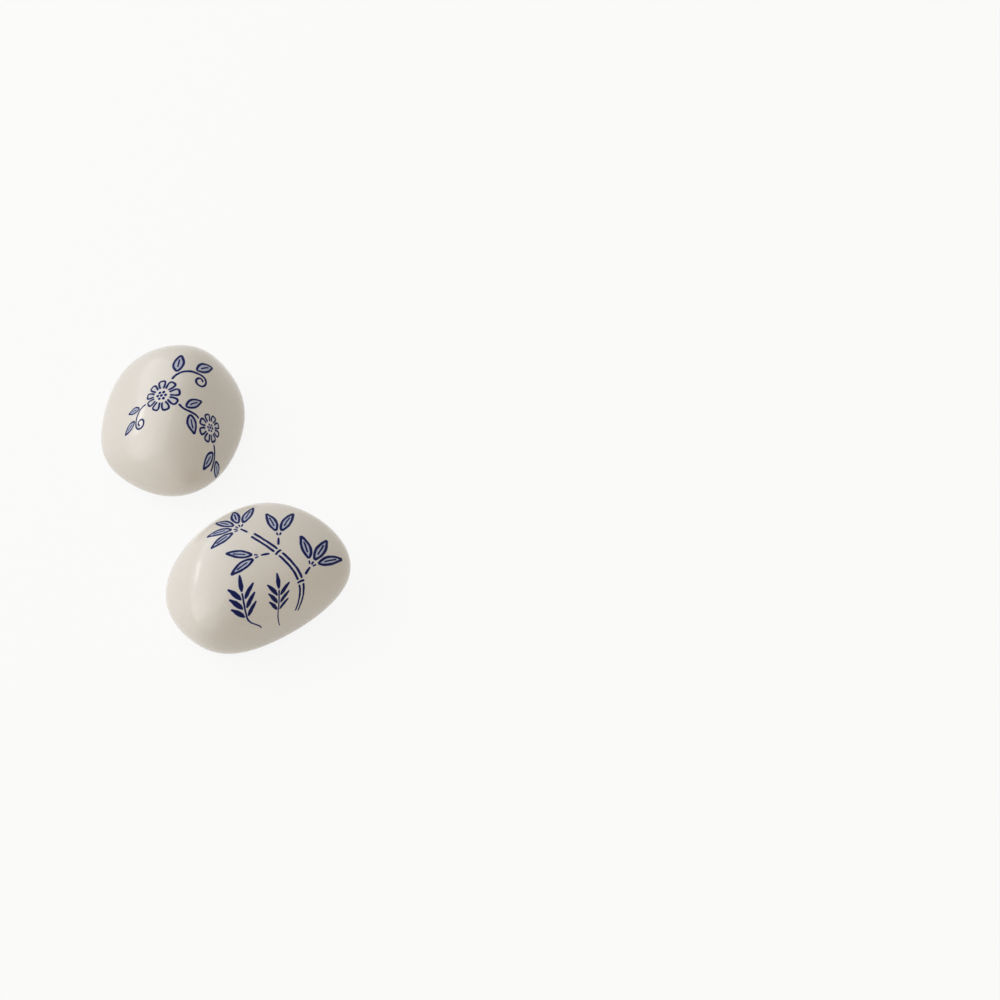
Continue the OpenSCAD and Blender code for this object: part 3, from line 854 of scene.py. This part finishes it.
def porcelain_material():
    nodes = Nodes("glazed_porcelain")
    place = nodes.add("ShaderNodeTexCoord").outputs["Object"]
    height = nodes.add("ShaderNodeSeparateXYZ", {"Vector": place}).outputs["Z"]
    wander = nodes.fade(nodes.noise(place, WANDER_W), *NOISE_RANGE, -WANDER_H * MM, WANDER_H * MM)
    wandering = nodes.math("ADD", height, wander)
    bare = nodes.fade(wandering, (GLAZE_EDGE + GLAZE_EDGE_W) * MM, GLAZE_EDGE * MM)
    stain = nodes.fade(nodes.noise(place, STAIN_W, detail=4.0), *STAIN_RANGE)
    biscuit = nodes.mix(stain, BISCUIT, BISCUIT_STAIN)
    nodes.feed("Base Color", nodes.mix(bare, glaze_colour(nodes, place), biscuit))
    roughness = nodes.add("ShaderNodeMix", {
        0: bare, 2: glaze_roughness(nodes, place), 3: BISCUIT_ROUGHNESS})
    nodes.feed("Roughness", roughness.outputs[0])
    grain = nodes.add("ShaderNodeBump", {
        "Height": nodes.noise(place, GRAIN_W, detail=3.0), "Strength": bare,
        "Distance": GRAIN_DEPTH * MM, "Normal": glaze_bump(nodes, place)})
    nodes.feed("Normal", grain.outputs["Normal"])
    nodes.feed("IOR", GLAZE_IOR)
    nodes.feed("Subsurface Weight", GLOW_SHARE)
    nodes.feed("Subsurface Radius", GLOW_REACH)
    nodes.feed("Subsurface Scale", GLOW_DEPTH * MM)
    return nodes.material


# Ink under the glaze: patches of thinner and thicker ink, its weaker gloss, and the colour that
# each share of ink lets through
PATCH_W = 0.8
PATCH_RANGE = (0.25, 0.7)
PATCH_SHARES = (0.86, 1.1)
INK_GLOSS = 0.1
INK_SHADES = [
    (0.0, (1, 1, 1, 1)),
    (0.12, (0.68, 0.77, 1, 1)),
    (0.3, (0.24, 0.34, 0.95, 1)),
    (0.6, (0.03, 0.05, 0.42, 1)),
    (0.9, (0.006, 0.012, 0.13, 1))]


def ink_material():
    nodes = Nodes("blue_print")
    place = nodes.add("ShaderNodeTexCoord").outputs["Object"]
    share = nodes.add("ShaderNodeAttribute", attribute_name="ink").outputs["Fac"]
    density = nodes.fade(nodes.noise(place, PATCH_W, detail=3.0), *PATCH_RANGE, *PATCH_SHARES)
    ramp = nodes.add("ShaderNodeValToRGB", {"Fac": nodes.math("MULTIPLY", share, density)})
    stops = ramp.color_ramp.elements
    while len(stops) < len(INK_SHADES):
        stops.new(0.5)
    for stop, (position, colour) in zip(stops, INK_SHADES):
        stop.position = position
        stop.color = colour
    inked = nodes.mix(1.0, glaze_colour(nodes, place), ramp.outputs["Color"], "MULTIPLY")
    nodes.feed("Base Color", inked)
    nodes.feed("Roughness", glaze_roughness(nodes, place))
    nodes.feed("Normal", glaze_bump(nodes, place))
    nodes.feed("IOR", GLAZE_IOR)
    nodes.feed("Specular IOR Level", INK_GLOSS)
    return nodes.material


# Camera: the photograph's view. Its middle pixel looks at this point of the table.
IMAGE_PX = 1000
MM_PER_PX = 0.2766
VIEW_DISTANCE = 620
VIEW_ELEVATION = 53
PHOTO_MIDDLE = (75.54, 4.44, 0)
SENSOR_W = 36
NEAREST = 10


def add_camera():
    data = bpy.data.cameras.new("camera")
    data.sensor_fit = "HORIZONTAL"
    data.sensor_width = SENSOR_W
    data.lens = SENSOR_W * VIEW_DISTANCE / (MM_PER_PX * IMAGE_PX)
    data.clip_start = NEAREST * MM
    camera = bpy.data.objects.new("camera", data)
    bpy.context.scene.collection.objects.link(camera)
    back = Vector(direction(-90, VIEW_ELEVATION))
    camera.location = (Vector(PHOTO_MIDDLE) + VIEW_DISTANCE * back) * MM
    camera.rotation_euler = (math.radians(90 - VIEW_ELEVATION), 0, 0)
    bpy.context.scene.camera = camera


# Light: soft cool daylight from the left, a little from behind, the small bright pane that gleams
# in the glaze, and a warm pale room. Sizes here are metres.
LAMP_DISTANCE = 1.1
SOFT_SIZE = (2.0, 1.6)
PANE_SIZE = (0.22, 0.1)
WHITE = (1, 1, 1, 1)
ROOM = (1, 0.92, 0.78, 1)
ROOM_STRENGTH = 0.48

# Each lamp's name, azimuth, elevation, size, watts and colour
LAMPS = [
    ("window", 160, 5, SOFT_SIZE, 2.4, (0.8, 0.9, 1)),
    ("skylight", 160, 40, SOFT_SIZE, 7.6, (0.9, 0.95, 1)),
    ("front_window", 215, 10, SOFT_SIZE, 3.7, (0.95, 0.97, 1)),
    ("back_window", 75, 48, SOFT_SIZE, 0.9, (0.5, 0.75, 1)),
    ("pane", 152, 11, PANE_SIZE, 0.17, (1, 1, 1))]


def add_lamp(name, azimuth, elevation, size, power, colour):
    data = bpy.data.lights.new(name, "AREA")
    data.shape = "RECTANGLE"
    data.size, data.size_y = size
    data.energy = power
    data.color = colour
    lamp = bpy.data.objects.new(name, data)
    bpy.context.scene.collection.objects.link(lamp)
    towards = Vector(direction(azimuth, elevation))
    lamp.location = towards * LAMP_DISTANCE
    lamp.rotation_euler = towards.to_track_quat("Z", "Y").to_euler()


def seen_directly(tree):
    """1 for a ray from the camera, or in a mirror image or through glass, and 0 for light."""
    rays = tree.nodes.new("ShaderNodeLightPath").outputs
    seen = rays["Is Camera Ray"]
    for ray in ("Is Glossy Ray", "Is Transmission Ray"):
        either = tree.nodes.new("ShaderNodeMath")
        either.operation = "MAXIMUM"
        tree.links.new(seen, either.inputs[0])
        tree.links.new(rays[ray], either.inputs[1])
        seen = either.outputs[0]
    return seen


def add_world():
    """Warm light from all round, and plain white where the world itself is seen."""
    world = bpy.data.worlds.new("room")
    bpy.context.scene.world = world
    world.use_nodes = True
    tree = world.node_tree
    room = tree.nodes["Background"]
    room.inputs["Color"].default_value = ROOM
    room.inputs["Strength"].default_value = ROOM_STRENGTH
    white = tree.nodes.new("ShaderNodeBackground")
    white.inputs["Color"].default_value = WHITE
    white.inputs["Strength"].default_value = 1.0
    mix = tree.nodes.new("ShaderNodeMixShader")
    tree.links.new(seen_directly(tree), mix.inputs["Fac"])
    tree.links.new(room.outputs[0], mix.inputs[1])
    tree.links.new(white.outputs[0], mix.inputs[2])
    tree.links.new(mix.outputs[0], tree.nodes["World Output"].inputs["Surface"])


# Floor: pale paper just under the feet, which is seen mostly as white and keeps a soft shadow
FLOOR_W = 16000
FLOOR_DROP = 0.03
FLOOR_WHITE_SHARE = 0.88
PAPER = (0.9, 0.89, 0.87, 1)


def add_floor():
    half = FLOOR_W / 2 * MM
    height = -FLOOR_DROP * MM
    mesh = bpy.data.meshes.new("floor")
    mesh.from_pydata(
        [(-half, -half, height), (half, -half, height), (half, half, height), (-half, half, height)],
        [], [(0, 1, 2, 3)])
    floor = bpy.data.objects.new("floor", mesh)
    bpy.context.scene.collection.objects.link(floor)
    nodes = Nodes("floor")
    tree = nodes.tree
    paper = nodes.add("ShaderNodeBsdfDiffuse", {"Color": PAPER})
    white = nodes.add("ShaderNodeEmission", {"Color": WHITE, "Strength": 1.0})
    share = nodes.math("MULTIPLY", seen_directly(tree), FLOOR_WHITE_SHARE)
    mix = nodes.add("ShaderNodeMixShader", {0: share, 1: paper.outputs[0], 2: white.outputs[0]})
    tree.links.new(mix.outputs[0], tree.nodes["Material Output"].inputs["Surface"])
    mesh.materials.append(nodes.material)


# The scene
add_camera()
porcelain = porcelain_material()
shell(rear, porcelain)
shell(front, porcelain)
blue = ink_material()
rear_prints(blue)
front_prints(blue)
add_floor()
add_world()
for lamp in LAMPS:
    add_lamp(*lamp)
bpy.context.scene.view_settings.view_transform = "Standard"
